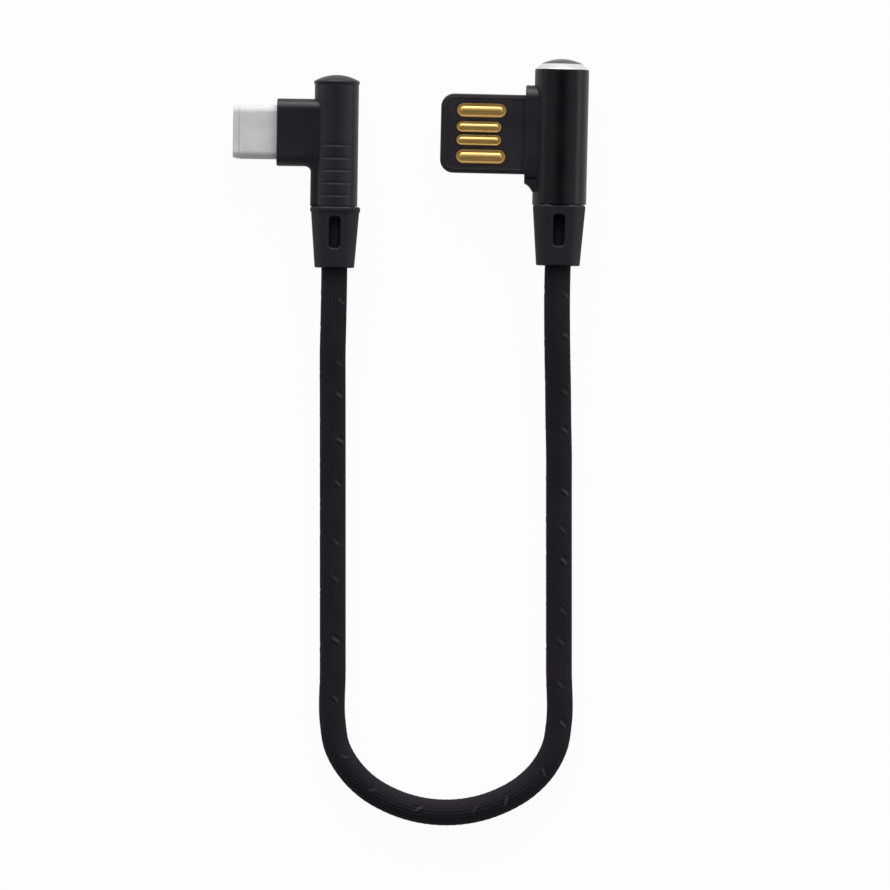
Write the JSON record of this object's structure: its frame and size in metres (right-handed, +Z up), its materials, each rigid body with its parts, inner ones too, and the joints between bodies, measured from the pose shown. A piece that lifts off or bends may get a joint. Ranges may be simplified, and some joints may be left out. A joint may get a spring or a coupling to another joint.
{
  "type": "charging cable",
  "caption": "Short woven charging cable in a U: right-angle USB-A plug with a bare reversible tongue, right-angle USB-C plug, window strain reliefs.",
  "frame": {"origin": "on the table, under the middle of the box round the two plugs", "axes": "+Z up from the table the cable lies on, +X from the device plug to the charger plug, +Y from the cord towards the plugs' end caps"},
  "size_m": [0.0541, 0.1162, 0.0082],
  "materials": {
    "black_anodised": "black anodised, fine bead blasted",
    "bright_ring": "polished bevel",
    "cap_black": "dark, smooth",
    "black_mould": "satin black moulding",
    "relief_black": "soft black elastomer",
    "black_sleeve_plastic": "satin black moulding",
    "gold_contact": "gold plated",
    "steel_shell": "nickel plated, satin",
    "latch_steel": "sheet steel",
    "insulator_black": "black glass-filled plastic",
    "board_green": "solder mask",
    "chip_black": "chip resistor",
    "wire_red": "wire insulation",
    "wire_black": "wire insulation",
    "wire_white": "wire insulation",
    "wire_green": "wire insulation",
    "copper": "tinned copper strands",
    "solder": "solder",
    "natural_mould": "natural inner moulding",
    "woven_cord": "black woven jacket"
  },
  "bodies": {
    "root": {"host_sleeve": "black_anodised", "host_trim_ring": "bright_ring", "host_end_cap": "cap_black", "host_overmould": "black_mould", "host_inner_mould": "natural_mould", "host_strain_relief": "relief_black", "host_tongue": "black_mould", "host_contacts_front": "gold_contact", "host_contacts_back": "gold_contact", "host_circuit_board": "board_green", "host_wire_power": "wire_red", "host_wire_ground": "wire_black", "host_wire_data_minus": "wire_white", "host_wire_data_plus": "wire_green", "host_conductors": "copper", "host_solder": "solder", "host_cord_end": "woven_cord", "device_shell": "steel_shell", "device_insulator": "insulator_black", "device_contacts_front": "gold_contact", "device_contacts_back": "gold_contact", "device_latch": "latch_steel", "device_circuit_board": "board_green", "device_resistor": "chip_black", "device_wire_power": "wire_red", "device_wire_ground": "wire_black", "device_wire_data_minus": "wire_white", "device_wire_data_plus": "wire_green", "device_conductors": "copper", "device_solder": "solder", "device_inner_mould": "natural_mould", "device_overmould": "black_mould", "device_sleeve": "black_sleeve_plastic", "device_end_cap": "black_sleeve_plastic", "device_strain_relief": "relief_black", "device_cord_end": "woven_cord", "cord": "woven_cord"}
  },
  "joints": []
}
